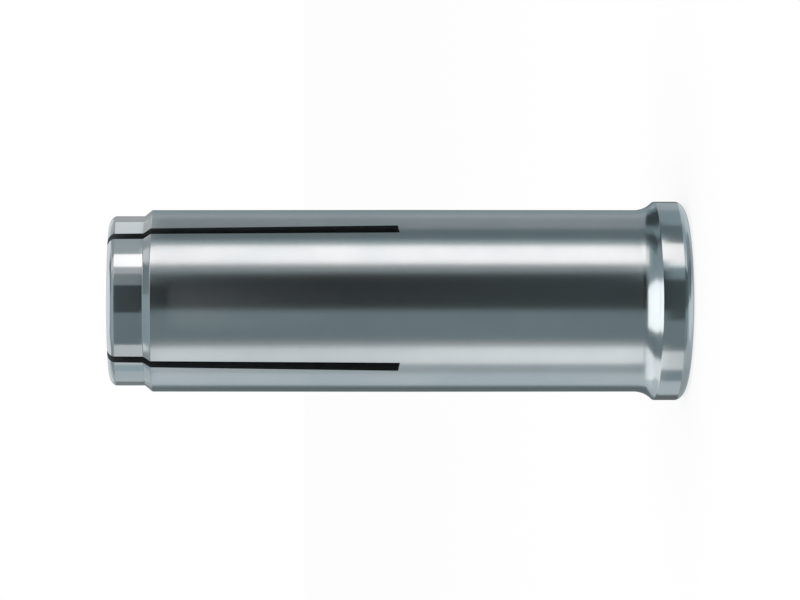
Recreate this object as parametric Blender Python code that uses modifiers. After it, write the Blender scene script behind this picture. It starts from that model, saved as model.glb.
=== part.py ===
"""Drop-in anchor, M12 x 50: a slotted steel sleeve with a captive expander plug.

The anchor stands on its lip. The origin is the centre of the lip's face and +Z runs up the
bore to the nose. Lengths are in metres and angles in degrees.
"""

import math

import bpy
import bmesh

MM = 0.001

# Sleeve, outside. Heights are measured from the lip's face.
SLEEVE_LENGTH = 50.0 * MM
BODY_RADIUS = 7.91 * MM
LIP_RADIUS = 8.65 * MM
LIP_HEIGHT = 2.42 * MM
RIM_ROUNDING_WIDTH = 1.25 * MM
RIM_ROUNDING_HEIGHT = 0.9 * MM
LIP_SLOPE = 40.0
LIP_BLEND_RADIUS = 1.3 * MM
COLLAR_RADIUS = 7.34 * MM
COLLAR_LENGTH = 3.05 * MM
SHOULDER_SLOPE = 40.0
SHOULDER_BLEND_RADIUS = 0.15 * MM
NOSE_ROUNDING_WIDTH = 1.15 * MM
NOSE_ROUNDING_HEIGHT = 0.68 * MM

# The legs are pressed in a little, so the body narrows over them to the shoulder.
SHOULDER_RADIUS = 7.87 * MM
LEG_TAPER_LENGTH = 26.0 * MM

# Sleeve, inside. The thread bore is the tap drill for M12 x 1.75.
THREAD_BORE_RADIUS = 5.1 * MM
THREAD_LENGTH = 22.0 * MM
MOUTH_CHAMFER = 1.2 * MM
CHAMBER_RADIUS = 5.5 * MM
CHAMBER_LENGTH = 7.5 * MM
NOSE_BORE_RADIUS = 3.55 * MM
NOSE_BORE_CHAMFER = 0.3 * MM

# Four slots split the nose half into legs. Their angles are measured from the front and back.
SLOT_LENGTH = 25.0 * MM
SLOT_ROOT_WIDTH = 1.0 * MM
SLOT_NOSE_WIDTH = 0.7 * MM
SLOT_ROOT_ANGLE = 48.0
SLOT_NOSE_ANGLE = 45.4

# Expander plug: a short cylinder and a long cone that matches the sleeve's taper.
PLUG_RUNNING_CLEARANCE = 0.1 * MM
PLUG_SEAT_GAP = 0.3 * MM
PLUG_CYLINDER_LENGTH = 4.0 * MM
PLUG_CONE_LENGTH = 8.0 * MM
PLUG_BASE_CHAMFER = 0.3 * MM
PLUG_TIP_CHAMFER = 0.4 * MM

# Facets.
TURN_STEPS = 72
ARC_STEPS = 4
SHARP_ANGLE = 30.0
MERGE_DISTANCE = 0.00001
CUTTER_OVERSHOOT = 1.0 * MM


def clear_scene():
    """Start from an empty scene."""
    for item in list(bpy.data.objects):
        bpy.data.objects.remove(item, do_unlink=True)


def make_collection(name):
    """Add a collection to the scene."""
    collection = bpy.data.collections.new(name)
    bpy.context.scene.collection.children.link(collection)
    return collection


def make_material(name, colour, roughness):
    """A bare or plated metal."""
    material = bpy.data.materials.new(name)
    material.use_nodes = True
    shader = material.node_tree.nodes["Principled BSDF"]
    shader.inputs["Base Color"].default_value = (*colour, 1.0)
    shader.inputs["Metallic"].default_value = 1.0
    shader.inputs["Roughness"].default_value = roughness
    return material


def quarter_round(corner_x, corner_z, width, height, from_side):
    """Points of a rounded outer corner, from the side wall to the end face or back.

    The corner is where the wall and the face would meet. A positive height rounds a corner
    whose face lies above its wall, and a negative one a corner whose face lies below.
    """
    steps = 2 * ARC_STEPS
    points = []
    for step in range(steps + 1):
        turn = math.radians(90.0) * step / steps
        if not from_side:
            turn = math.radians(90.0) - turn
        points.append((
            corner_x - width * (1.0 - math.cos(turn)),
            corner_z - height * (1.0 - math.sin(turn)),
        ))
    return points


def blended_slope(top_radius, bottom_radius, start_z, slope, blend_radius):
    """Points of a slope that leaves one cylinder and joins a wider one below it.

    Both ends are blended with the same radius. start_z is where the slope leaves the upper
    cylinder. The last point lies on the lower cylinder.
    """
    angle = math.radians(slope)
    rise = bottom_radius - top_radius
    drop = slope_height(rise, slope, blend_radius)
    points = []
    for step in range(ARC_STEPS + 1):
        turn = angle * step / ARC_STEPS
        points.append((
            top_radius + blend_radius * (1.0 - math.cos(turn)),
            start_z - blend_radius * math.sin(turn),
        ))
    for step in range(ARC_STEPS + 1):
        turn = angle * (1.0 - step / ARC_STEPS)
        points.append((
            bottom_radius - blend_radius * (1.0 - math.cos(turn)),
            start_z - drop + blend_radius * math.sin(turn),
        ))
    return points


def slope_height(rise, slope, blend_radius):
    """Height along the axis of a blended slope."""
    angle = math.radians(slope)
    return rise / math.tan(angle) + 2.0 * blend_radius * math.tan(angle / 2.0)


def turn_profile(name, profile, closed, collection, material):
    """Turn a profile in the XZ plane once round Z, and return the closed solid."""
    mesh = bpy.data.meshes.new(name)
    edges = [(index, index + 1) for index in range(len(profile) - 1)]
    if closed:
        edges.append((len(profile) - 1, 0))
    mesh.from_pydata([(x, 0.0, z) for x, z in profile], edges, [])
    turned = bpy.data.objects.new(name, mesh)
    collection.objects.link(turned)

    screw = turned.modifiers.new("turn", "SCREW")
    screw.axis = "Z"
    screw.angle = math.radians(360.0)
    screw.screw_offset = 0.0
    screw.steps = TURN_STEPS
    screw.render_steps = TURN_STEPS
    screw.use_merge_vertices = True
    screw.merge_threshold = MERGE_DISTANCE

    depsgraph = bpy.context.evaluated_depsgraph_get()
    solid = bpy.data.meshes.new_from_object(turned.evaluated_get(depsgraph))
    turned.modifiers.remove(screw)
    turned.data = solid
    bpy.data.meshes.remove(mesh)
    solid.name = name
    solid.shade_smooth()
    solid.set_sharp_from_angle(angle=math.radians(SHARP_ANGLE))
    solid.materials.append(material)
    return turned


def sleeve_profile():
    """The sleeve's wall in section: down the outside from the nose, then up the bore."""
    shoulder_z = SLEEVE_LENGTH - COLLAR_LENGTH
    lip_rise = LIP_RADIUS - BODY_RADIUS
    lip_slope_top = LIP_HEIGHT + slope_height(lip_rise, LIP_SLOPE, LIP_BLEND_RADIUS)
    chamber_top = THREAD_LENGTH + CHAMBER_LENGTH

    outside = quarter_round(
        COLLAR_RADIUS, SLEEVE_LENGTH, NOSE_ROUNDING_WIDTH, NOSE_ROUNDING_HEIGHT, False)
    outside += blended_slope(
        COLLAR_RADIUS, SHOULDER_RADIUS, shoulder_z, SHOULDER_SLOPE, SHOULDER_BLEND_RADIUS)
    outside.append((BODY_RADIUS, SLEEVE_LENGTH - LEG_TAPER_LENGTH))
    outside += blended_slope(
        BODY_RADIUS, LIP_RADIUS, lip_slope_top, LIP_SLOPE, LIP_BLEND_RADIUS)
    outside += quarter_round(
        LIP_RADIUS, 0.0, RIM_ROUNDING_WIDTH, -RIM_ROUNDING_HEIGHT, True)

    inside = [
        (THREAD_BORE_RADIUS + MOUTH_CHAMFER, 0.0),
        (THREAD_BORE_RADIUS, MOUTH_CHAMFER),
        (THREAD_BORE_RADIUS, THREAD_LENGTH),
        (CHAMBER_RADIUS, THREAD_LENGTH),
        (CHAMBER_RADIUS, chamber_top),
        (NOSE_BORE_RADIUS, SLEEVE_LENGTH - NOSE_BORE_CHAMFER),
        (NOSE_BORE_RADIUS + NOSE_BORE_CHAMFER, SLEEVE_LENGTH),
    ]
    return outside + inside


def taper_slope():
    """How much radius the sleeve's tapered bore loses for each metre of height."""
    taper_height = SLEEVE_LENGTH - NOSE_BORE_CHAMFER - THREAD_LENGTH - CHAMBER_LENGTH
    return (CHAMBER_RADIUS - NOSE_BORE_RADIUS) / taper_height


def plug_profile():
    """The plug in section, from the middle of its tip down to the middle of its base."""
    plug_radius = CHAMBER_RADIUS - PLUG_RUNNING_CLEARANCE
    tip_z = PLUG_CYLINDER_LENGTH + PLUG_CONE_LENGTH
    tip_radius = plug_radius - PLUG_CONE_LENGTH * taper_slope()
    chamfer_radius = tip_radius + PLUG_TIP_CHAMFER * taper_slope()
    return [
        (0.0, tip_z),
        (tip_radius - PLUG_TIP_CHAMFER, tip_z),
        (chamfer_radius, tip_z - PLUG_TIP_CHAMFER),
        (plug_radius, PLUG_CYLINDER_LENGTH),
        (plug_radius, PLUG_BASE_CHAMFER),
        (plug_radius - PLUG_BASE_CHAMFER, 0.0),
        (0.0, 0.0),
    ]


def make_slot_cutter(name, azimuth, lean_side, collection):
    """A saw cut from the bore out through the wall, from the slot's root past the nose.

    azimuth is the slot's place at its root, counted from +X. The cut narrows to the nose and
    leans there to lean_side, which is 1 for anticlockwise and -1 for clockwise.
    """
    cut_height = SLOT_LENGTH + CUTTER_OVERSHOOT
    overshoot_share = cut_height / SLOT_LENGTH
    end_width = SLOT_ROOT_WIDTH + (SLOT_NOSE_WIDTH - SLOT_ROOT_WIDTH) * overshoot_share
    lean_angle = math.radians(SLOT_ROOT_ANGLE - SLOT_NOSE_ANGLE)
    end_shift = lean_side * BODY_RADIUS * lean_angle * overshoot_share
    inner_x = NOSE_BORE_RADIUS / 2.0
    outer_x = BODY_RADIUS + CUTTER_OVERSHOOT

    shape = bmesh.new()
    bmesh.ops.create_cube(shape, size=1.0)
    for vertex in shape.verts:
        at_end = vertex.co.z > 0.0
        width = end_width if at_end else SLOT_ROOT_WIDTH
        shift = end_shift if at_end else 0.0
        vertex.co.x = outer_x if vertex.co.x > 0.0 else inner_x
        vertex.co.y = math.copysign(width / 2.0, vertex.co.y) + shift
        vertex.co.z = cut_height if at_end else 0.0
    mesh = bpy.data.meshes.new(name)
    shape.to_mesh(mesh)
    shape.free()

    cutter = bpy.data.objects.new(name, mesh)
    cutter.location.z = SLEEVE_LENGTH - SLOT_LENGTH
    cutter.rotation_euler.z = math.radians(azimuth)
    cutter.hide_render = True
    cutter.display_type = "WIRE"
    collection.objects.link(cutter)
    return cutter


def cut_slots(sleeve, cutters):
    """Saw the four slots, in mirrored pairs either side of the front and the back."""
    front, back = -90.0, 90.0
    for middle in (front, back):
        for side in (1, -1):
            cutter = make_slot_cutter(
                f"slot_cutter_{len(cutters.objects) + 1}",
                middle + side * SLOT_ROOT_ANGLE, -side, cutters)
            cut = sleeve.modifiers.new(cutter.name, "BOOLEAN")
            cut.operation = "DIFFERENCE"
            cut.solver = "EXACT"
            cut.object = cutter


def main():
    """Model the anchor."""
    clear_scene()
    parts = make_collection("drop_in_anchor")
    cutters = make_collection("cutters")

    zinc_plate = make_material("zinc_plated_steel", (0.60, 0.64, 0.66), 0.3)
    plug_steel = make_material("plug_steel", (0.52, 0.54, 0.55), 0.35)

    sleeve = turn_profile("anchor_sleeve", sleeve_profile(), True, parts, zinc_plate)
    cut_slots(sleeve, cutters)

    plug = turn_profile("expander_plug", plug_profile(), False, parts, plug_steel)
    plug.location.z = THREAD_LENGTH + PLUG_SEAT_GAP


main()
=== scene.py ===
import math

import bpy
from mathutils import Matrix, Vector


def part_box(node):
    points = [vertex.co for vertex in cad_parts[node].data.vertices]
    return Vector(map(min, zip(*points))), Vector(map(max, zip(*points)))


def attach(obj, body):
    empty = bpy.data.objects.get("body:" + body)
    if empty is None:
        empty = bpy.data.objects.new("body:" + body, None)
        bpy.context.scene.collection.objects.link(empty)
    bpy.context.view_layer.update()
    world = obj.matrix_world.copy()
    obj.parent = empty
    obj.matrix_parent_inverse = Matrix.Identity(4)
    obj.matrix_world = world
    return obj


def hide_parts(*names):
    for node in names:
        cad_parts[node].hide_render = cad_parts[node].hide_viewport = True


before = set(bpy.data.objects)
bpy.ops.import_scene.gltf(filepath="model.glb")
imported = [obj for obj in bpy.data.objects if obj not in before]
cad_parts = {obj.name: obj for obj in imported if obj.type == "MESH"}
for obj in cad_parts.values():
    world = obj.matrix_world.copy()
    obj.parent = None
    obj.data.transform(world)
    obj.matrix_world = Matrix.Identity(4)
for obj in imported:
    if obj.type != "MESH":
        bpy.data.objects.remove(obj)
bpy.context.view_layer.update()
mm = 0.001
weldGap = 0.001 * mm            # points nearer than this are one point
smoothAngle = math.radians(30)  # sharper edges than this stay crisp
print("frame loaded")


# Colours are written as sRGB hex and handed to the shaders as linear light.
def hexToLinear(code):
    channels = [int(code[start:start + 2], 16) / 255 for start in (1, 3, 5)]
    linear = [c / 12.92 if c <= 0.04045 else ((c + 0.055) / 1.055) ** 2.4 for c in channels]
    return (*linear, 1.0)


# Adds one node: settings are its properties, links go from a socket or a value to a named input.
def addNode(tree, kind, settings=None, links=None):
    node = tree.nodes.new(kind)
    for name, value in (settings or {}).items():
        setattr(node, name, value)
    for name, value in (links or {}).items():
        if isinstance(value, bpy.types.NodeSocket):
            tree.links.new(value, node.inputs[name])
        else:
            node.inputs[name].default_value = value
    return node


def deselectAll():
    if bpy.context.mode != "OBJECT":
        bpy.ops.object.mode_set(mode="OBJECT")
    bpy.ops.object.select_all(action="DESELECT")


def makeActive(piece):
    deselectAll()
    piece.select_set(True)
    bpy.context.view_layer.objects.active = piece


# Points of an arc in section, as (radius, height) pairs; angles in degrees from straight out.
def arcPoints(centreRadius, centreHeight, width, height, fromAngle, toAngle, steps):
    points = []
    for step in range(steps + 1):
        angle = math.radians(fromAngle + (toAngle - fromAngle) * step / steps)
        points.append((
            centreRadius + width * math.cos(angle),
            centreHeight + height * math.sin(angle)))
    return points


# Draws a circle out ring by ring, as on a lathe. A closed outline ends where it began,
# and an open one starts and ends in a flat face.
def latheFromCircle(name, outline, segments, closed):
    deselectAll()
    radius, height = outline[0]
    bpy.ops.mesh.primitive_circle_add(
        vertices=segments, radius=radius, location=(0, 0, height),
        fill_type="NOTHING" if closed else "NGON")
    piece = bpy.context.object
    piece.name = name
    piece.data.name = name
    bpy.ops.object.transform_apply(location=True, rotation=True, scale=True)
    bpy.ops.object.mode_set(mode="EDIT")
    bpy.ops.mesh.select_mode(type="EDGE")
    bpy.ops.mesh.select_all(action="SELECT")
    rings = list(outline[1:]) + ([outline[0]] if closed else [])
    for nextRadius, nextHeight in rings:
        bpy.ops.mesh.extrude_edges_move()
        bpy.ops.transform.translate(value=(0, 0, nextHeight - height))
        stretch = nextRadius / radius
        bpy.ops.transform.resize(
            value=(stretch, stretch, 1), center_override=(0, 0, nextHeight))
        radius, height = nextRadius, nextHeight
    if not closed:
        bpy.ops.mesh.edge_face_add()
    bpy.ops.mesh.select_all(action="SELECT")
    bpy.ops.mesh.remove_doubles(threshold=weldGap)
    bpy.ops.mesh.normals_make_consistent(inside=False)
    bpy.ops.object.mode_set(mode="OBJECT")
    return piece


# Cuts the tool's form out of the piece, and throws the tool away.
def cutWith(piece, tool):
    makeActive(piece)
    cut = piece.modifiers.new("cut", "BOOLEAN")
    cut.operation = "DIFFERENCE"
    cut.solver = "EXACT"
    cut.material_mode = "TRANSFER"
    cut.object = tool
    bpy.ops.object.modifier_apply(modifier=cut.name)
    bpy.data.objects.remove(tool, do_unlink=True)


# Camera. The anchor stands on its lip and the photograph shows it lying, so the camera is
# rolled a quarter turn: the nose is at the picture's left and +X at its top.
view = {
    "distance": 300 * mm,        # from the anchor's axis
    "height": 35.6 * mm,         # above the lip's face
    "aimHeight": 24.787 * mm,
    "aimSide": 0.075 * mm,       # the axis lies a pixel below the picture's middle
    "turn": math.radians(-2.9),  # round the anchor, from its front
    "lens": 155.27,              # with the sensor's width, both in camera millimetres
    "sensor": 36,
    "clipStart": 10 * mm,
}


def makeCamera():
    camera = bpy.data.objects.new("camera", bpy.data.cameras.new("camera"))
    bpy.context.scene.collection.objects.link(camera)
    side = Vector((math.cos(view["turn"]), math.sin(view["turn"]), 0))
    away = Vector((math.sin(view["turn"]), -math.cos(view["turn"]), 0))
    target = Vector((0, 0, view["aimHeight"])) + side * view["aimSide"]
    place = away * view["distance"] + side * view["aimSide"]
    place.z = view["height"]
    ahead = (target - place).normalized()
    down = Vector((0, 0, -1))
    right = (down - down.dot(ahead) * ahead).normalized()
    up = right.cross(ahead)
    axes = Matrix((right, up, -ahead)).transposed()
    camera.matrix_world = Matrix.Translation(place) @ axes.to_4x4()
    camera.data.lens = view["lens"]
    camera.data.sensor_width = view["sensor"]
    camera.data.clip_start = view["clipStart"]
    camera.data.dof.use_dof = False
    bpy.context.scene.camera = camera


makeCamera()
print("camera placed")


# Studio. Light panels stand round the anchor and show only in its metal. Each ring of panels
# is a band of a ball round a point on the anchor's axis, and where two rings overlap, the nearer
# one shows. Angles are in degrees: round is counted from the camera towards the picture's top,
# and low and high are above level.
panelTone = {"warm": "#FFF9F7", "white": "#FCFEFF", "cool": "#F0FBFF", "slate": "#E1F8FF"}
panelMesh = {
    "degrees": 4,  # round, for one face
    "leastAcross": 4,
    "up": 12,
}
panelRings = [
    {"name": "body", "radius": 500 * mm, "centre": 0, "low": -9.5, "high": 0.3, "panels": [
        # round from, round to, brightness, tone, and for a leaning panel the two upper ends
        (47, 74, 1.58, "warm"),
        (35, 47, 0.34, "cool"),
        (-11, 35, 0.058, "slate"),
        (-52, -11, 0.27, "slate"),
        (-59.5, -52, 0.47, "white"),
        (-86, -59.5, 1.11, "white"),
        (-103, -86, 0.475, "cool"),
        (-135, -103, 0.67, "cool"),
        (-158, -135, 0.18, "slate"),
        (163, 202, 0.20, "slate"),
        (143, 163, 0.38, "slate"),
        (128, 143, 0.455, "cool"),
        (103, 128, 0.365, "cool"),
        (82, 103, 0.20, "slate"),
        (74, 82, 0.44, "slate"),
    ]},
    # What the legs show, as the body's ring with a little more contrast.
    {"name": "legs", "radius": 501 * mm, "centre": 0, "low": 0.1, "high": 10.5, "panels": [
        (47, 74, 1.6, "warm"),
        (35, 47, 0.34, "cool"),
        (-11, 35, 0.004, "slate"),
        (-52, -11, 0.25, "slate"),
        (-59.5, -52, 0.38, "white"),
        (-86, -59.5, 0.84, "white"),
        (-103, -86, 0.475, "cool"),
        (-135, -103, 0.67, "cool"),
        (-158, -135, 0.18, "slate"),
        (163, 202, 0.20, "slate"),
        (143, 163, 0.38, "slate"),
        (128, 143, 0.455, "cool"),
        (103, 128, 0.365, "cool"),
        (82, 103, 0.20, "slate"),
        (74, 82, 0.44, "slate"),
    ]},
    {"name": "nose", "radius": 20 * mm, "centre": 50 * mm, "low": -7, "high": 4, "panels": [
        (38.4, 54.5, 1.62, "warm"),
        (30.3, 38.4, 0.54, "white"),
        (17.3, 30.3, 0.30, "cool"),
        (-12.9, 17.3, 0.071, "slate"),
        (-50.9, -12.9, 0.247, "slate"),
        (-81, -50.9, 0.714, "white"),
        (-93.6, -81, 0.53, "slate"),
        (-123, -93.6, 0.61, "cool"),
        (180, 237, 0.26, "cool"),
        (139, 180, 0.35, "cool"),
        (116, 139, 0.48, "white"),
        (84, 116, 0.92, "white"),
        (54.5, 84, 0.48, "cool"),
    ]},
    {"name": "lip", "radius": 45 * mm, "centre": 0, "low": -9, "high": -1, "panels": [
        (39, 63.5, 1.42, "warm"),
        (36, 39, 1.3, "cool"),
        (22.5, 36, 0.376, "slate"),
        (-20, 22.5, 0.084, "slate"),
        (-54.5, -20, 0.262, "slate"),
        (-79.5, -54.5, 0.81, "white"),
        (-98, -79.5, 0.33, "slate"),
        (-130.5, -98, 0.63, "cool"),
        (149, 229.5, 0.16, "cool"),
        (120, 149, 0.51, "cool"),
        (89.5, 120, 0.395, "slate"),
        (63.5, 89.5, 0.195, "slate"),
    ]},
    {"name": "sill", "radius": 502 * mm, "centre": 0, "low": 10, "high": 17, "panels": [
        (-10, 20, 0.03, "slate"),
        (20, 30, 0.14, "slate"),
        (30, 45, 0.35, "slate"),
        (45, 67, 1.08, "warm"),
        (67, 74, 0.87, "cool"),
        (74, 82, 0.26, "slate"),
        (82, 95, 0.12, "slate"),
        (95, 110, 0.26, "slate"),
        (110, 137, 0.07, "slate"),
        (137, 150, 0.28, "slate"),
        (150, 195, 0.54, "cool"),
        (-165, -140, 0.56, "cool"),
        (-140, -118, 0.70, "cool"),
        (-118, -82, 0.98, "white"),
        (-82, -60, 1.08, "white"),
        (-60, -10, 0.22, "slate"),
    ]},
    {"name": "upper", "radius": 504 * mm, "centre": 0, "low": 16.5, "high": 23, "panels": [
        (-34, 16, 1.48, "white", -35.3, 19),
        (16, 30, 0.24, "slate", 19, 30),
        (30, 47, 0.38, "slate"),
        (47, 68, 1.08, "warm"),
        (68, 74, 0.86, "cool"),
        (74, 82, 0.22, "slate"),
        (82, 95, 0.10, "slate"),
        (95, 111, 0.27, "slate"),
        (111, 143, 0.07, "slate"),
        (143, 157, 0.26, "slate"),
        (157, 195, 0.54, "cool"),
        (-165, -138, 0.61, "cool"),
        (-138, -120, 0.76, "cool"),
        (-120, -61.5, 1.14, "white", -120, -65),
        (-61.5, -34, 0.24, "slate", -65, -35.3),
    ]},
    {"name": "window", "radius": 506 * mm, "centre": 0, "low": 22.5, "high": 34, "panels": [
        (-35.3, 19, 1.48, "white", -39.8, 23.8),
        (19, 45, 0.40, "slate", 23.8, 45),
        (45, 75, 0.48, "slate"),
        (75, 83, 0.18, "slate"),
        (83, 96, 0.08, "slate", 83, 101),
        (96, 112, 0.28, "slate", 101, 116),
        (112, 145, 0.07, "slate", 116, 150),
        (145, 195, 0.46, "cool", 150, 195),
        (-165, -138, 0.62, "cool"),
        (-138, -122, 0.66, "cool"),
        (-122, -65, 1.18, "white", -122, -75),
        (-65, -35.3, 0.24, "slate", -75, -39.8),
    ]},
    {"name": "gable", "radius": 508 * mm, "centre": 0, "low": 33.5, "high": 50, "panels": [
        (-39.8, 23.8, 1.48, "white", -48.5, 31),
        (23.8, 72, 0.38, "slate", 31, 76),
        (72, 84, 0.18, "slate", 76, 90),
        (84, 101, 0.08, "slate", 90, 108),
        (101, 117, 0.34, "slate", 108, 126),
        (117, 150, 0.12, "slate", 126, 150),
        (150, 215, 0.50, "cool", 150, 200),
        (-145, -75, 1.08, "white", -160, -101),
        (-75, -39.8, 0.24, "slate", -101, -48.5),
    ]},
    {"name": "crown", "radius": 510 * mm, "centre": 0, "low": 49.5, "high": 90, "panels": [
        (-48.5, 31, 1.50, "white", -90, 58),
        (31, 90, 0.38, "slate", 58, 115),
        (90, 200, 0.34, "slate", 115, 200),
        (-160, -48.5, 0.27, "slate", -160, -90),
    ]},
    {"name": "noseSill", "radius": 20 * mm, "centre": 50 * mm, "low": 4, "high": 11.5, "panels": [
        (-42, 25, 0.48, "slate"),
        (25, 52, 0.85, "warm"),
        (52, 100, 0.40, "cool"),
        (100, 253, 0.48, "cool"),
        (-107, -42, 0.44, "cool"),
    ]},
    {"name": "noseDome", "radius": 20.2 * mm, "centre": 50 * mm, "low": 11, "high": 40, "panels": [
        (-52, 37, 0.47, "cool"),
        (37, 52, 0.78, "warm"),
        (52, 100, 0.42, "cool"),
        (100, 130, 0.58, "white"),
        (130, 230, 0.78, "white"),
        (230, 253, 0.62, "cool"),
        (-107, -52, 0.38, "cool"),
    ]},
    {"name": "noseCap", "radius": 20.4 * mm, "centre": 50 * mm, "low": 39.5, "high": 64, "panels": [
        (-75, 12, 0.42, "slate"),
        (12, 90, 0.27, "slate"),
        (90, 285, 0.92, "white"),
    ]},
    {"name": "noseTop", "radius": 20.6 * mm, "centre": 50 * mm, "low": 63.5, "high": 90, "panels": [
        (-75, 285, 1.0, "white"),
    ]},
    # One small card that the shoulder catches, just under the upper slot.
    {"name": "noseSide", "radius": 19.8 * mm, "centre": 50 * mm, "low": 37, "high": 47, "panels": [
        (60, 86, 0.80, "white"),
    ]},
    {"name": "lower", "radius": 502 * mm, "centre": 0, "low": -45, "high": -9, "panels": [
        (-10, 40, 0.14, "slate"),
        (40, 62, 0.74, "cool"),
        (62, 78, 0.60, "slate"),
        (78, 105, 0.48, "slate"),
        (105, 130, 0.70, "cool"),
        (130, 165, 0.76, "cool"),
        (165, 195, 0.50, "cool"),
        (-165, -105, 0.43, "cool"),
        (-105, -92, 0.46, "cool"),
        (-92, -62, 0.58, "cool"),
        (-62, -45, 0.31, "slate"),
        (-45, -10, 0.34, "slate"),
    ]},
    {"name": "bottom", "radius": 504 * mm, "centre": 0, "low": -65.5, "high": -44.5, "panels": [
        (-5, 60, 0.20, "slate"),
        (60, 152, 0.35, "cool"),
        (152, 172, 0.46, "cool"),
        (172, 200, 0.80, "cool"),
        (-160, -60, 0.53, "cool"),
        (-60, -5, 0.54, "cool"),
    ]},
    {"name": "base", "radius": 506 * mm, "centre": 0, "low": -90, "high": -65, "panels": [
        (10, 60, 0.28, "slate"),
        (60, 150, 0.18, "slate"),
        (150, 370, 0.86, "cool"),
    ]},
]


# A panel may lean: highFrom and highTo are where it runs from and to at the ring's upper edge.
def makePanel(name, ring, roundFrom, roundTo, brightness, tone, highFrom=None, highTo=None):
    deselectAll()
    highFrom = roundFrom if highFrom is None else highFrom
    highTo = roundTo if highTo is None else highTo
    across = max(panelMesh["leastAcross"], round((roundTo - roundFrom) / panelMesh["degrees"]))
    bpy.ops.mesh.primitive_grid_add(
        x_subdivisions=across, y_subdivisions=panelMesh["up"], size=2)
    panel = bpy.context.object
    panel.name = name
    for vertex in panel.data.vertices:
        share = (vertex.co.x + 1) / 2
        climb = (vertex.co.y + 1) / 2
        edgeFrom = roundFrom + (highFrom - roundFrom) * climb
        edgeTo = roundTo + (highTo - roundTo) * climb
        turn = math.radians(edgeFrom + (edgeTo - edgeFrom) * share) + view["turn"]
        rise = math.radians(ring["low"] + (ring["high"] - ring["low"]) * climb)
        level = ring["radius"] * math.cos(rise)
        vertex.co = Vector((
            level * math.sin(turn), -level * math.cos(turn),
            ring["centre"] + ring["radius"] * math.sin(rise)))
    light = bpy.data.materials.new(name)
    light.use_nodes = True
    light.node_tree.nodes.clear()
    glow = addNode(light.node_tree, "ShaderNodeEmission", links={
        "Color": hexToLinear(panelTone[tone]), "Strength": brightness})
    addNode(light.node_tree, "ShaderNodeOutputMaterial", links={"Surface": glow.outputs[0]})
    panel.data.materials.append(light)
    panel.visible_camera = False
    panel.visible_diffuse = False
    panel.visible_shadow = False


for panelRing in panelRings:
    for number, panelFacts in enumerate(panelRing["panels"], 1):
        makePanel(f"{panelRing['name']}Panel{number}", panelRing, *panelFacts)


# The overhead softbox lights the floor and throws the shadow there.
softbox = {
    "round": -9,  # degrees, as for the panels
    "rise": 69.5,
    "distance": 428 * mm,
    "width": 250 * mm,
    "depth": 130 * mm,
    "power": 0.25,
}


def makeSoftbox():
    lamp = bpy.data.lights.new("softbox", "AREA")
    lamp.shape = "RECTANGLE"
    lamp.size = softbox["width"]
    lamp.size_y = softbox["depth"]
    lamp.energy = softbox["power"]
    holder = bpy.data.objects.new("softbox", lamp)
    bpy.context.scene.collection.objects.link(holder)
    turn = math.radians(softbox["round"]) + view["turn"]
    rise = math.radians(softbox["rise"])
    away = Vector((
        math.sin(turn) * math.cos(rise), -math.cos(turn) * math.cos(rise), math.sin(rise)))
    holder.location = away * softbox["distance"]
    holder.rotation_euler = away.to_track_quat("Z", "Y").to_euler()
    holder.visible_glossy = False


makeSoftbox()


# Seen directly, in metal or through glass, the room is white. Its light on the floor is softer.
room = {"colour": "#FFFFFF", "seen": 1.0, "fill": 0.95}


def makeWorld():
    world = bpy.data.worlds.new("studio")
    bpy.context.scene.world = world
    world.use_nodes = True
    tree = world.node_tree
    tree.nodes.clear()
    path = addNode(tree, "ShaderNodeLightPath")
    seen = addNode(tree, "ShaderNodeMath", {"operation": "MAXIMUM"}, {
        0: path.outputs["Is Camera Ray"], 1: path.outputs["Is Glossy Ray"]})
    seen = addNode(tree, "ShaderNodeMath", {"operation": "MAXIMUM"}, {
        0: seen.outputs[0], 1: path.outputs["Is Transmission Ray"]})
    fill = addNode(tree, "ShaderNodeBackground", links={
        "Color": hexToLinear(room["colour"]), "Strength": room["fill"]})
    white = addNode(tree, "ShaderNodeBackground", links={
        "Color": hexToLinear(room["colour"]), "Strength": room["seen"]})
    mixed = addNode(tree, "ShaderNodeMixShader", links={
        "Fac": seen.outputs[0], 1: fill.outputs[0], 2: white.outputs[0]})
    addNode(tree, "ShaderNodeOutputWorld", links={"Surface": mixed.outputs[0]})


makeWorld()


floor = {
    "size": 8,              # metres, past the edge of any view
    "drop": 0.01 * mm,      # so that the lip's face and the floor aren't in one plane
    "paint": "#FAFAFA",
    "white": "#FFFFFF",
    "whiteShare": 0.8,      # the rest is paint, and keeps the anchor's shadow
}


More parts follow.
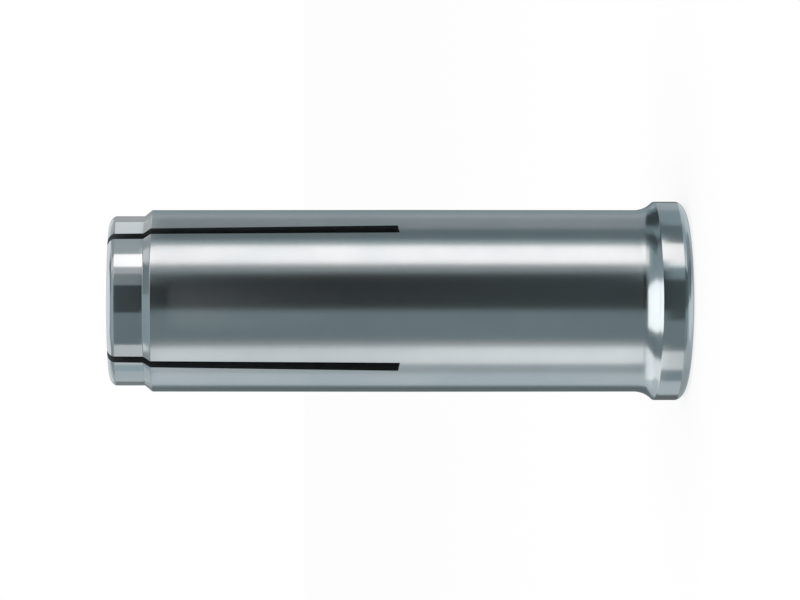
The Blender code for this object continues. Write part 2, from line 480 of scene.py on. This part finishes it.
def makeFloor():
    deselectAll()
    bpy.ops.mesh.primitive_plane_add(size=floor["size"], location=(0, 0, -floor["drop"]))
    ground = bpy.context.object
    ground.name = "floor"
    paint = bpy.data.materials.new("whiteFloor")
    paint.use_nodes = True
    tree = paint.node_tree
    tree.nodes.clear()
    path = addNode(tree, "ShaderNodeLightPath")
    share = addNode(tree, "ShaderNodeMath", {"operation": "MULTIPLY"}, {
        0: path.outputs["Is Camera Ray"], 1: floor["whiteShare"]})
    plain = addNode(tree, "ShaderNodeBsdfDiffuse", links={"Color": hexToLinear(floor["paint"])})
    glow = addNode(tree, "ShaderNodeEmission", links={
        "Color": hexToLinear(floor["white"]), "Strength": 1.0})
    mixed = addNode(tree, "ShaderNodeMixShader", links={
        "Fac": share.outputs[0], 1: plain.outputs[0], 2: glow.outputs[0]})
    # Its underside is clear, so that the threaded end can be looked at from below.
    clear = addNode(tree, "ShaderNodeBsdfTransparent")
    under = addNode(tree, "ShaderNodeNewGeometry").outputs["Backfacing"]
    mixed = addNode(tree, "ShaderNodeMixShader", links={
        "Fac": under, 1: mixed.outputs[0], 2: clear.outputs[0]})
    addNode(tree, "ShaderNodeOutputMaterial", links={"Surface": mixed.outputs[0]})
    ground.data.materials.append(paint)
    ground.visible_glossy = False


makeFloor()
bpy.context.scene.view_settings.view_transform = "Standard"
print("studio built")


# Materials. Patterns read Object coordinates in metres, so 1 / size gives a noise its scale,
# and waveScale / spacing gives a wave its own.
waveScale = math.pi / 10


def startMaterial(name, colour, roughness):
    material = bpy.data.materials.new(name)
    material.use_nodes = True
    shader = material.node_tree.nodes["Principled BSDF"]
    shader.inputs["Base Color"].default_value = hexToLinear(colour)
    shader.inputs["Metallic"].default_value = 1.0
    shader.inputs["Roughness"].default_value = roughness
    return material, material.node_tree, shader


# Bright zinc on cold-formed steel, blue passivated. The drawn body is satin and cool grey,
# and the collar and lip, which the dies pressed last, are smoother and mirror more sharply.
zinc = {
    "colour": "#D0D5D7",
    "cloudColour": "#C9D0D3",
    "cloudSize": 5 * mm,
    "cloudRange": (0.35, 0.65),   # of the noise, from one colour to the other
    "bodyRoughness": 0.205,
    "collarShine": 0.095,         # how much smoother the collar is
    "collarFrom": (46.0 * mm, 46.9 * mm),
    "lipShine": 0.04,
    "lipTo": (3.2 * mm, 4.6 * mm),
    "roughnessSpread": 0.035,
    "grainSize": 0.22 * mm,       # coarser than the real grain, which is finer than a pixel
    "grainDepth": 0.0006 * mm,
    "drawLineWidth": 0.35 * mm,
    "drawLineLength": 9 * mm,
    "drawLineDepth": 0.0005 * mm,
    "faceRing": 0.16 * mm,        # tool marks on the flat end faces
    "faceRingDepth": 0.0015 * mm,
    "faceRange": (0.97, 0.995),   # how level a face is, from no marks to full marks
}


def makeZincPlate():
    z = zinc
    material, tree, shader = startMaterial("zincPlatedSteel", z["colour"], z["bodyRoughness"])
    place = addNode(tree, "ShaderNodeTexCoord").outputs["Object"]
    height = addNode(tree, "ShaderNodeSeparateXYZ", links={"Vector": place}).outputs["Z"]

    # Faint clouds of the passivation's tint. A colour Mix has its two colours at 6 and 7.
    clouds = addNode(tree, "ShaderNodeTexNoise", links={
        "Vector": place, "Scale": 1 / z["cloudSize"], "Detail": 3.0, "Roughness": 0.5})
    cloudShare = addNode(tree, "ShaderNodeMapRange", links={
        "Value": clouds.outputs[0],
        "From Min": z["cloudRange"][0], "From Max": z["cloudRange"][1]})
    tint = addNode(tree, "ShaderNodeMix", {"data_type": "RGBA"}, {"Factor": cloudShare.outputs[0]})
    tint.inputs[6].default_value = hexToLinear(z["colour"])
    tint.inputs[7].default_value = hexToLinear(z["cloudColour"])
    tree.links.new(tint.outputs[2], shader.inputs["Base Color"])

    # Roughness: satin on the body, smoother on the collar and the lip, a little uneven.
    collarShare = addNode(tree, "ShaderNodeMapRange", {"interpolation_type": "SMOOTHSTEP"}, {
        "Value": height, "From Min": z["collarFrom"][0], "From Max": z["collarFrom"][1],
        "To Min": 0.0, "To Max": z["collarShine"]})
    lipShare = addNode(tree, "ShaderNodeMapRange", {"interpolation_type": "SMOOTHSTEP"}, {
        "Value": height, "From Min": z["lipTo"][0], "From Max": z["lipTo"][1],
        "To Min": z["lipShine"], "To Max": 0.0})
    uneven = addNode(tree, "ShaderNodeMapRange", links={
        "Value": clouds.outputs[0],
        "To Min": z["bodyRoughness"] - z["roughnessSpread"] / 2,
        "To Max": z["bodyRoughness"] + z["roughnessSpread"] / 2})
    smoother = addNode(tree, "ShaderNodeMath", {"operation": "SUBTRACT"}, {
        0: uneven.outputs[0], 1: collarShare.outputs[0]})
    smoother = addNode(tree, "ShaderNodeMath", {"operation": "SUBTRACT"}, {
        0: smoother.outputs[0], 1: lipShare.outputs[0]})
    tree.links.new(smoother.outputs[0], shader.inputs["Roughness"])

    # Relief: fine plating grain, draw lines along the body, and tool rings on the end faces.
    grain = addNode(tree, "ShaderNodeTexNoise", links={
        "Vector": place, "Scale": 1 / z["grainSize"], "Detail": 2.0})
    grainBump = addNode(tree, "ShaderNodeBump", links={
        "Height": grain.outputs[0], "Distance": z["grainDepth"], "Strength": 1.0})
    stretched = addNode(tree, "ShaderNodeMapping", links={
        "Vector": place,
        "Scale": (1 / z["drawLineWidth"], 1 / z["drawLineWidth"], 1 / z["drawLineLength"])})
    lines = addNode(tree, "ShaderNodeTexNoise", links={
        "Vector": stretched.outputs[0], "Scale": 1.0, "Detail": 2.0})
    lineBump = addNode(tree, "ShaderNodeBump", links={
        "Height": lines.outputs[0], "Distance": z["drawLineDepth"], "Strength": 1.0,
        "Normal": grainBump.outputs[0]})
    rings = addNode(
        tree, "ShaderNodeTexWave",
        {"wave_type": "RINGS", "rings_direction": "Z", "wave_profile": "SIN"},
        {"Vector": place, "Scale": waveScale / z["faceRing"], "Distortion": 1.5, "Detail": 2.0,
         "Detail Scale": 0.4})
    facing = addNode(tree, "ShaderNodeSeparateXYZ", links={
        "Vector": addNode(tree, "ShaderNodeNewGeometry").outputs["Normal"]})
    flat = addNode(tree, "ShaderNodeMath", {"operation": "ABSOLUTE"}, {0: facing.outputs["Z"]})
    onFace = addNode(tree, "ShaderNodeMapRange", links={
        "Value": flat.outputs[0],
        "From Min": z["faceRange"][0], "From Max": z["faceRange"][1]})
    ringBump = addNode(tree, "ShaderNodeBump", links={
        "Height": rings.outputs[1], "Distance": z["faceRingDepth"], "Strength": onFace.outputs[0],
        "Normal": lineBump.outputs[0]})
    tree.links.new(ringBump.outputs[0], shader.inputs["Normal"])
    return material


# Bare carbon steel, sawn through the plated sleeve after forming. The slots' walls are duller and
# darker than the zinc, stained, and scored across by the teeth.
sawn = {
    "colour": "#A9ADAF",
    "stainColour": "#7D8284",
    "stainSize": 1.5 * mm,
    "roughness": 0.42,
    "toothMark": 0.12 * mm,
    "toothSweep": 8 * mm,  # how far one score runs across the wall
    "toothDepth": 0.004 * mm,
}


def makeSawnSteel():
    material, tree, shader = startMaterial("sawnSteel", sawn["colour"], sawn["roughness"])
    place = addNode(tree, "ShaderNodeTexCoord").outputs["Object"]
    stains = addNode(tree, "ShaderNodeTexNoise", links={
        "Vector": place, "Scale": 1 / sawn["stainSize"], "Detail": 4.0})
    tint = addNode(tree, "ShaderNodeMix", {"data_type": "RGBA"}, {"Factor": stains.outputs[0]})
    tint.inputs[6].default_value = hexToLinear(sawn["colour"])
    tint.inputs[7].default_value = hexToLinear(sawn["stainColour"])
    tree.links.new(tint.outputs[2], shader.inputs["Base Color"])
    stretched = addNode(tree, "ShaderNodeMapping", links={
        "Vector": place,
        "Scale": (1 / sawn["toothSweep"], 1 / sawn["toothSweep"], 1 / sawn["toothMark"])})
    marks = addNode(tree, "ShaderNodeTexNoise", links={
        "Vector": stretched.outputs[0], "Scale": 1.0, "Detail": 2.0})
    bump = addNode(tree, "ShaderNodeBump", links={
        "Height": marks.outputs[0], "Distance": sawn["toothDepth"], "Strength": 1.0})
    tree.links.new(bump.outputs[0], shader.inputs["Normal"])
    return material


# Plain turned steel, lightly oiled and unplated: darker than the zinc, with fine feed rings.
turned = {
    "colour": "#BDBFBF",
    "oilColour": "#9C9C98",
    "oilSize": 2.5 * mm,
    "roughness": 0.30,
    "roughnessSpread": 0.16,
    "feed": 0.14 * mm,
    "feedDepth": 0.002 * mm,
}


def makeTurnedSteel():
    material, tree, shader = startMaterial("turnedSteel", turned["colour"], turned["roughness"])
    place = addNode(tree, "ShaderNodeTexCoord").outputs["Object"]
    oil = addNode(tree, "ShaderNodeTexNoise", links={
        "Vector": place, "Scale": 1 / turned["oilSize"], "Detail": 4.0})
    tint = addNode(tree, "ShaderNodeMix", {"data_type": "RGBA"}, {"Factor": oil.outputs[0]})
    tint.inputs[6].default_value = hexToLinear(turned["colour"])
    tint.inputs[7].default_value = hexToLinear(turned["oilColour"])
    tree.links.new(tint.outputs[2], shader.inputs["Base Color"])
    uneven = addNode(tree, "ShaderNodeMapRange", links={
        "Value": oil.outputs[0],
        "To Min": turned["roughness"] - turned["roughnessSpread"] / 2,
        "To Max": turned["roughness"] + turned["roughnessSpread"] / 2})
    tree.links.new(uneven.outputs[0], shader.inputs["Roughness"])
    # The tool's feed leaves rings up the cone, and circles on the two ends.
    upCone = addNode(
        tree, "ShaderNodeTexWave",
        {"wave_type": "BANDS", "bands_direction": "Z", "wave_profile": "SIN"},
        {"Vector": place, "Scale": waveScale / turned["feed"], "Distortion": 0.6})
    onEnds = addNode(
        tree, "ShaderNodeTexWave",
        {"wave_type": "RINGS", "rings_direction": "Z", "wave_profile": "SIN"},
        {"Vector": place, "Scale": waveScale / turned["feed"], "Distortion": 0.6})
    both = addNode(tree, "ShaderNodeMath", {"operation": "ADD"}, {
        0: upCone.outputs[1], 1: onEnds.outputs[1]})
    bump = addNode(tree, "ShaderNodeBump", links={
        "Height": both.outputs[0], "Distance": turned["feedDepth"], "Strength": 1.0})
    tree.links.new(bump.outputs[0], shader.inputs["Normal"])
    return material


zincPlate = makeZincPlate()
sawnSteel = makeSawnSteel()
turnedSteel = makeTurnedSteel()


# Sleeve, in the sizes of its section.
sleeveLow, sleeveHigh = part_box("anchor_sleeve")
sleeve = {
    "length": sleeveHigh.z,
    "lipRadius": sleeveHigh.x,
    "lipHeight": 2.67 * mm,
    "rimWidth": 1.25 * mm,
    "rimHeight": 0.9 * mm,
    "bodyRadius": 7.91 * mm,
    "shoulderRadius": 7.87 * mm,  # the legs are pressed in a little
    "legTaper": 26 * mm,
    "collarRadius": 7.34 * mm,
    "collarLength": 3.05 * mm,
    "slope": 40,                  # degrees from upright, under the lip and on the shoulder
    "lipEdge": 0.18 * mm,         # the die leaves a crisp edge and a wide hollow under it
    "lipHollow": 2.2 * mm,
    "shoulderBlend": 0.15 * mm,
    "noseWidth": 1.15 * mm,
    "noseHeight": 0.68 * mm,
    "boreRadius": 5.1 * mm,
    "boreDepth": 22 * mm,
    "mouthChamfer": 1.2 * mm,
    "chamberRadius": 5.5 * mm,
    "chamberLength": 7.5 * mm,
    "noseBore": 3.55 * mm,
    "noseBoreChamfer": 0.3 * mm,
    "segments": 288,
    "rimSteps": 24,
    "edgeSteps": 8,
    "hollowSteps": 20,
    "noseSteps": 16,
}


def slopeHeight(rise, edge, hollow):
    angle = math.radians(sleeve["slope"])
    return rise / math.tan(angle) + (edge + hollow) * math.tan(angle / 2)


# A slope from a wide cylinder up to a narrower one, with a rounded edge and a hollow.
def slopePoints(wide, narrow, bottom, edge, hollow):
    top = bottom + slopeHeight(wide - narrow, edge, hollow)
    rounded = arcPoints(
        wide - edge, bottom, edge, edge, 0, sleeve["slope"], sleeve["edgeSteps"])
    hollowed = arcPoints(
        narrow + hollow, top, hollow, hollow, 180 + sleeve["slope"], 180, sleeve["hollowSteps"])
    return rounded + hollowed


def sleeveOutline():
    s = sleeve
    shoulderTop = s["length"] - s["collarLength"]
    shoulderDrop = s["shoulderRadius"] - s["collarRadius"]
    blend = s["shoulderBlend"]
    shoulderBottom = shoulderTop - slopeHeight(shoulderDrop, blend, blend)
    outside = arcPoints(
        s["lipRadius"] - s["rimWidth"], s["rimHeight"],
        s["rimWidth"], s["rimHeight"], -90, 0, s["rimSteps"])
    outside += slopePoints(
        s["lipRadius"], s["bodyRadius"], s["lipHeight"], s["lipEdge"], s["lipHollow"])
    outside += [(s["bodyRadius"], s["length"] - s["legTaper"])]
    outside += slopePoints(
        s["shoulderRadius"], s["collarRadius"], shoulderBottom, blend, blend)
    outside += arcPoints(
        s["collarRadius"] - s["noseWidth"], s["length"] - s["noseHeight"],
        s["noseWidth"], s["noseHeight"], 0, 90, s["noseSteps"])
    inside = [
        (s["noseBore"] + s["noseBoreChamfer"], s["length"]),
        (s["noseBore"], s["length"] - s["noseBoreChamfer"]),
        (s["chamberRadius"], s["boreDepth"] + s["chamberLength"]),
        (s["chamberRadius"], s["boreDepth"]),
        (s["boreRadius"], s["boreDepth"]),
        (s["boreRadius"], s["mouthChamfer"]),
        (s["boreRadius"] + s["mouthChamfer"], 0),
    ]
    return outside + inside


# The M12 thread is cut as a tap cuts it: a V groove wound along the bore, open at the mouth,
# that runs out over the last turns. Pitch, diameters and flanks are the standard's.
thread = {
    "pitch": 1.75 * mm,
    "majorRadius": 6.0 * mm,
    "rootFlat": 0.22 * mm,
    "innerRadius": 4.95 * mm,  # just inside the bore
    "flankAngle": math.radians(30),
    "start": -1.5 * mm,        # outside the mouth, so that the groove is open there
    "turns": 12,
    "runOutTurns": 2.0,
    "runOutShare": 0.95,       # of the groove's depth, lost by its end
    "stepsPerTurn": 96,
    "mergeGap": 0.0001 * mm,
}


def makeTap():
    t = thread
    depth = t["majorRadius"] - t["innerRadius"]
    openWidth = t["rootFlat"] + 2 * depth * math.tan(t["flankAngle"])
    middle = (t["majorRadius"] + t["innerRadius"]) / 2
    deselectAll()
    bpy.ops.mesh.primitive_plane_add(
        size=1, location=(middle, 0, t["start"]), rotation=(math.radians(90), 0, 0))
    tap = bpy.context.object
    tap.name = "tap"
    tap.scale = (depth, openWidth, 1)
    bpy.ops.object.transform_apply(location=True, rotation=True, scale=True)
    # The groove's bottom is narrower than its mouth.
    for vertex in tap.data.vertices:
        if vertex.co.x > middle:
            vertex.co.z = t["start"] + math.copysign(t["rootFlat"] / 2, vertex.co.z - t["start"])
    bpy.ops.object.mode_set(mode="EDIT")
    bpy.ops.mesh.select_all(action="SELECT")
    bpy.ops.mesh.delete(type="ONLY_FACE")
    bpy.ops.object.mode_set(mode="OBJECT")
    wind = tap.modifiers.new("wind", "SCREW")
    wind.axis = "Z"
    wind.angle = math.radians(360)
    wind.screw_offset = t["pitch"]
    wind.iterations = t["turns"]
    wind.steps = t["stepsPerTurn"]
    wind.render_steps = t["stepsPerTurn"]
    wind.use_merge_vertices = True
    wind.merge_threshold = t["mergeGap"]
    bpy.ops.object.modifier_apply(modifier=wind.name)
    # The run-out: the last turns sink into the bore's wall less and less.
    threadTop = t["start"] + t["turns"] * t["pitch"]
    fullTop = threadTop - t["runOutTurns"] * t["pitch"]
    for vertex in tap.data.vertices:
        if vertex.co.z > fullTop:
            share = (vertex.co.z - fullTop) / (threadTop - fullTop)
            radius = math.hypot(vertex.co.x, vertex.co.y)
            shrunk = radius - share * depth * t["runOutShare"]
            vertex.co.x *= shrunk / radius
            vertex.co.y *= shrunk / radius
    bpy.ops.object.mode_set(mode="EDIT")
    bpy.ops.mesh.select_mode(type="EDGE")
    bpy.ops.mesh.select_all(action="DESELECT")
    bpy.ops.mesh.select_non_manifold()
    bpy.ops.mesh.fill()
    bpy.ops.mesh.select_all(action="SELECT")
    bpy.ops.mesh.normals_make_consistent(inside=False)
    bpy.ops.object.mode_set(mode="OBJECT")
    tap.data.materials.append(zincPlate)
    return tap


# Four saw cuts split the nose half into legs, in mirrored pairs either side of the front and
# the back. Each narrows towards the nose and leans a little towards the middle of its side.
slots = {
    "length": 25 * mm,
    "rootWidth": 1.0 * mm,
    "noseWidth": 0.7 * mm,
    "rootAngle": 48.4,
    "noseAngle": 45.9,
    "endSlant": 0.14 * mm,  # the saw leaves the slot's end a little askew
    "overshoot": 1.0 * mm,  # how far the saw reaches out past the nose and the body
}


# The saw for one slot: side is 1 or -1, either side of the front (-90 degrees) or the back (90).
def makeSaw(middle, side):
    cutLength = slots["length"] + slots["overshoot"]
    reach = cutLength / slots["length"]
    endWidth = slots["rootWidth"] + (slots["noseWidth"] - slots["rootWidth"]) * reach
    lean = math.radians(slots["rootAngle"] - slots["noseAngle"]) * sleeve["bodyRadius"] * reach
    innerX = sleeve["noseBore"] / 2  # well inside the bore
    outerX = sleeve["bodyRadius"] + slots["overshoot"]
    bottom = sleeve["length"] - slots["length"]
    deselectAll()
    bpy.ops.mesh.primitive_cube_add(
        size=1, location=((innerX + outerX) / 2, 0, bottom + cutLength / 2),
        scale=(outerX - innerX, slots["rootWidth"], cutLength))
    saw = bpy.context.object
    saw.name = "saw"
    bpy.ops.object.transform_apply(location=True, rotation=True, scale=True)
    bpy.ops.object.mode_set(mode="EDIT")
    bpy.ops.mesh.select_all(action="DESELECT")
    bpy.ops.object.mode_set(mode="OBJECT")
    for vertex in saw.data.vertices:
        if vertex.co.z < bottom + cutLength / 2 and vertex.co.y * side > 0:
            vertex.co.z += slots["endSlant"]
    # The end past the nose is narrowed and moved over.
    for face in saw.data.polygons:
        face.select = face.normal.z > 0.9
    bpy.ops.object.mode_set(mode="EDIT")
    bpy.ops.mesh.select_mode(type="FACE")
    bpy.ops.transform.resize(
        value=(1, endWidth / slots["rootWidth"], 1), center_override=(0, 0, bottom + cutLength))
    bpy.ops.transform.translate(value=(0, -side * lean, 0))
    bpy.ops.object.mode_set(mode="OBJECT")
    saw.rotation_euler.z = math.radians(middle + side * slots["rootAngle"])
    bpy.ops.object.transform_apply(location=True, rotation=True, scale=True)
    saw.data.materials.append(sawnSteel)
    return saw


# The slots are cut before the thread: the other way round, the cuts leave walls out.
def makeSleeve():
    piece = latheFromCircle("threadedSleeve", sleeveOutline(), sleeve["segments"], True)
    piece.data.materials.append(zincPlate)
    for middle in (-90, 90):
        for side in (1, -1):
            cutWith(piece, makeSaw(middle, side))
    cutWith(piece, makeTap())
    makeActive(piece)
    # The cuts leave pairs of points a hair apart.
    bpy.ops.object.mode_set(mode="EDIT")
    bpy.ops.mesh.select_all(action="SELECT")
    bpy.ops.mesh.remove_doubles(threshold=weldGap / 2)
    bpy.ops.object.mode_set(mode="OBJECT")
    bpy.ops.object.shade_smooth_by_angle(angle=smoothAngle)
    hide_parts("anchor_sleeve")
    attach(piece, "sleeve")
    return piece


threadedSleeve = makeSleeve()
print("sleeve turned, tapped and slotted:", len(threadedSleeve.data.polygons), "faces")


# Plug: a short cylinder and a long cone with the slope of the sleeve's taper.
plugLow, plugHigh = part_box("expander_plug")
plug = {
    "base": plugLow.z,
    "top": plugHigh.z,
    "radius": plugHigh.x,
    "cylinder": 4 * mm,
    "baseRounding": 0.3 * mm,
    "tipRounding": 0.4 * mm,
    "dimpleRadius": 1.2 * mm,
    "dimpleDepth": 0.25 * mm,
    "middleFlat": 0.2 * mm,  # radius of the flat spot in the middle of both ends
    "segments": 192,
    "arcSteps": 8,
}


def plugOutline():
    p = plug
    taperHeight = (sleeve["length"] - sleeve["noseBoreChamfer"]
                   - sleeve["boreDepth"] - sleeve["chamberLength"])
    taper = (sleeve["chamberRadius"] - sleeve["noseBore"]) / taperHeight
    coneHeight = p["top"] - p["base"] - p["cylinder"]
    tipRadius = p["radius"] - taper * coneHeight
    outline = [(p["middleFlat"], p["top"])]
    outline += arcPoints(
        tipRadius - p["tipRounding"], p["top"] - p["tipRounding"],
        p["tipRounding"], p["tipRounding"], 90, 5, p["arcSteps"])
    outline += [(p["radius"], p["base"] + p["cylinder"])]
    outline += arcPoints(
        p["radius"] - p["baseRounding"], p["base"] + p["baseRounding"],
        p["baseRounding"], p["baseRounding"], 0, -90, p["arcSteps"])
    outline += [
        (p["dimpleRadius"], p["base"]),
        (p["middleFlat"], p["base"] + p["dimpleDepth"]),
    ]
    return outline


def makePlug():
    piece = latheFromCircle("taperPlug", plugOutline(), plug["segments"], False)
    bpy.ops.object.shade_smooth_by_angle(angle=smoothAngle)
    piece.data.materials.append(turnedSteel)
    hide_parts("expander_plug")
    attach(piece, "plug")


makePlug()
print("plug turned")
